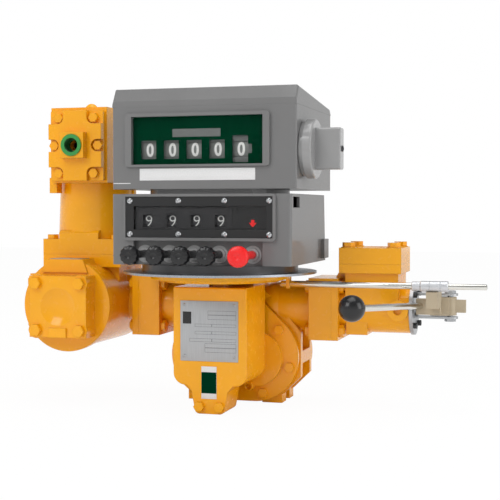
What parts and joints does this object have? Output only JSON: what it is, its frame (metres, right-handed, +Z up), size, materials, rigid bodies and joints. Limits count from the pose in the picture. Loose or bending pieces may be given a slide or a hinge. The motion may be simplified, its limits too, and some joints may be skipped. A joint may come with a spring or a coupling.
{
  "type": "rotary positive-displacement flow meter",
  "caption": "Rotary positive-displacement flow meter with strainer, air eliminator, preset valve, preset counter, register and trip lever.",
  "frame": {"origin": "centre of the four foot bolt holes, on the plane the feet stand on", "axes": "+X along the flow from inlet to outlet, +Y to the back, +Z up"},
  "size_m": [0.6985, 0.315, 0.447],
  "materials": {
    "yellow_casting": "gloss",
    "gray_case": "satin",
    "bare_iron": "matte",
    "rotor_iron": "satin",
    "gear_steel": "satin",
    "gland_brass": "satin",
    "bright_plate": "satin",
    "dark_base": "satin",
    "black_bezel": "satin",
    "clear_window": "polished",
    "green_dial": "matte",
    "gray_knob": "gloss",
    "basket_steel": "satin",
    "float_steel": "satin",
    "green_bushing": "gloss",
    "zinc_steel": "satin",
    "tan_casting": "matte",
    "bright_rod": "polished",
    "black_knob": "gloss",
    "black_wheel": "matte",
    "gray_wheel": "matte",
    "black_button": "satin",
    "red_button": "gloss"
  },
  "bodies": {
    "meter": {"meter_housing": "yellow_casting", "bearing_plates": "bare_iron", "front_cover": "yellow_casting", "rear_cover": "yellow_casting", "cover_bolts": "yellow_casting", "packing_gland": "gland_brass", "dust_cover": "yellow_casting", "register_adapter": "yellow_casting", "mounting_plate": "bright_plate", "preset_base": "dark_base", "preset_case": "gray_case", "preset_bezel": "black_bezel", "counter_windows": "clear_window", "wheel_shafts": "gear_steel", "register_case": "gray_case", "register_lid": "gray_case", "register_dial": "green_dial", "strainer_body": "yellow_casting", "strainer_cap": "yellow_casting", "strainer_basket": "basket_steel", "inlet_flange": "yellow_casting", "eliminator_body": "yellow_casting", "eliminator_cover": "yellow_casting", "vent_bushing": "green_bushing", "eliminator_screws": "yellow_casting", "flange_bolts": "yellow_casting", "valve_body": "yellow_casting", "outlet_flange": "yellow_casting", "valve_end_plate": "zinc_steel", "valve_spring": "gear_steel"},
    "displacement_left": {"displacement_rotor_left": "rotor_iron", "displacement_gear_left": "gear_steel"},
    "displacement_right": {"displacement_rotor_right": "rotor_iron", "displacement_gear_right": "gear_steel"},
    "blocking": {"blocking_rotor": "rotor_iron", "blocking_gear": "gear_steel", "drive_bevel_gear": "gear_steel"},
    "output": {"output_shaft": "gear_steel"},
    "reset": {"reset_knob": "gray_knob"},
    "stop": {"stop_button": "red_button"},
    "lever": {"lever_arm": "tan_casting", "handle_rod": "bright_rod", "ball_knob": "black_knob"},
    "piston": {"valve_piston": "gland_brass"},
    "trip": {"trip_rod": "bright_rod"},
    "float": {"eliminator_float": "float_steel"},
    "preset_digit_1": {"preset_wheel_1": "black_wheel"},
    "button_1": {"preset_button_1": "black_button"},
    "preset_digit_2": {"preset_wheel_2": "black_wheel"},
    "button_2": {"preset_button_2": "black_button"},
    "preset_digit_3": {"preset_wheel_3": "black_wheel"},
    "button_3": {"preset_button_3": "black_button"},
    "preset_digit_4": {"preset_wheel_4": "black_wheel"},
    "button_4": {"preset_button_4": "black_button"},
    "register_digit_1": {"register_wheel_1": "gray_wheel"},
    "register_digit_2": {"register_wheel_2": "gray_wheel"},
    "register_digit_3": {"register_wheel_3": "gray_wheel"},
    "register_digit_4": {"register_wheel_4": "gray_wheel"},
    "register_digit_5": {"register_wheel_5": "gray_wheel"}
  },
  "joints": [
    {"name": "displacement_left_spin", "type": "hinge", "parent": "meter", "child": "displacement_left", "pos_m": [-0.036, 0, 0.066], "axis": [0, 1, 0], "continuous": true},
    {"name": "displacement_right_spin", "type": "hinge", "parent": "meter", "child": "displacement_right", "pos_m": [0.036, 0, 0.066], "axis": [0, 1, 0], "continuous": true},
    {"name": "blocking_spin", "type": "hinge", "parent": "meter", "child": "blocking", "pos_m": [0, 0, 0.09997], "axis": [0, 1, 0], "continuous": true},
    {"name": "output_spin", "type": "hinge", "parent": "meter", "child": "output", "pos_m": [0, -0.103, 0.2], "axis": [0, 0, 1], "continuous": true},
    {"name": "register_digit_1_spin", "type": "hinge", "parent": "meter", "child": "register_digit_1", "pos_m": [-0.0785, -0.139, 0.3635], "axis": [1, 0, 0], "continuous": true},
    {"name": "register_digit_2_spin", "type": "hinge", "parent": "meter", "child": "register_digit_2", "pos_m": [-0.046, -0.139, 0.3635], "axis": [1, 0, 0], "continuous": true},
    {"name": "register_digit_3_spin", "type": "hinge", "parent": "meter", "child": "register_digit_3", "pos_m": [-0.0135, -0.139, 0.3635], "axis": [1, 0, 0], "continuous": true},
    {"name": "register_digit_4_spin", "type": "hinge", "parent": "meter", "child": "register_digit_4", "pos_m": [0.019, -0.139, 0.3635], "axis": [1, 0, 0], "continuous": true},
    {"name": "register_digit_5_spin", "type": "hinge", "parent": "meter", "child": "register_digit_5", "pos_m": [0.0515, -0.139, 0.3635], "axis": [1, 0, 0], "continuous": true},
    {"name": "preset_digit_1_spin", "type": "hinge", "parent": "meter", "child": "preset_digit_1", "pos_m": [-0.0791, -0.151, 0.267], "axis": [1, 0, 0], "continuous": true},
    {"name": "preset_digit_2_spin", "type": "hinge", "parent": "meter", "child": "preset_digit_2", "pos_m": [-0.0447, -0.151, 0.267], "axis": [1, 0, 0], "continuous": true},
    {"name": "preset_digit_3_spin", "type": "hinge", "parent": "meter", "child": "preset_digit_3", "pos_m": [-0.0103, -0.151, 0.267], "axis": [1, 0, 0], "continuous": true},
    {"name": "preset_digit_4_spin", "type": "hinge", "parent": "meter", "child": "preset_digit_4", "pos_m": [0.0241, -0.151, 0.267], "axis": [1, 0, 0], "continuous": true},
    {"name": "reset_knob_turn", "type": "hinge", "parent": "meter", "child": "reset", "pos_m": [0.13, -0.139, 0.3635], "axis": [1, 0, 0], "continuous": true},
    {"name": "button_1_press", "type": "slide", "parent": "meter", "child": "button_1", "axis": [0, 1, 0], "range_m": [0, 0.007], "stiffness_N_per_m": 150},
    {"name": "button_2_press", "type": "slide", "parent": "meter", "child": "button_2", "axis": [0, 1, 0], "range_m": [0, 0.007], "stiffness_N_per_m": 150},
    {"name": "button_3_press", "type": "slide", "parent": "meter", "child": "button_3", "axis": [0, 1, 0], "range_m": [0, 0.007], "stiffness_N_per_m": 150},
    {"name": "button_4_press", "type": "slide", "parent": "meter", "child": "button_4", "axis": [0, 1, 0], "range_m": [0, 0.007], "stiffness_N_per_m": 150},
    {"name": "stop_press", "type": "slide", "parent": "meter", "child": "stop", "axis": [0, 1, 0], "range_m": [0, 0.007], "stiffness_N_per_m": 150},
    {"name": "lever_swing", "type": "hinge", "parent": "meter", "child": "lever", "pos_m": [0.311, 0, 0.145], "axis": [0, 0, 1], "range_deg": [0, 12]},
    {"name": "piston_slide", "type": "slide", "parent": "meter", "child": "piston", "axis": [1, 0, 0], "range_m": [-0.011, 0], "deforming": ["valve_spring"]},
    {"name": "trip_rod_slide", "type": "slide", "parent": "meter", "child": "trip", "axis": [1, 0, 0], "range_m": [-0.011, 0]},
    {"name": "float_swing", "type": "hinge", "parent": "meter", "child": "float", "pos_m": [-0.232, -0.052, 0.398], "axis": [1, 0, 0], "range_deg": [0, 5]}
  ],
  "couplings": [
    {"joint": "displacement_right_spin", "follows": "displacement_left_spin", "ratio": 1},
    {"joint": "blocking_spin", "follows": "displacement_left_spin", "ratio": -2},
    {"joint": "output_spin", "follows": "displacement_left_spin", "ratio": 2},
    {"joint": "register_digit_5_spin", "follows": "displacement_left_spin", "ratio": 0.1},
    {"joint": "piston_slide", "follows": "lever_swing", "m_per_rad": -0.0525},
    {"joint": "trip_rod_slide", "follows": "lever_swing", "m_per_rad": -0.0525}
  ]
}
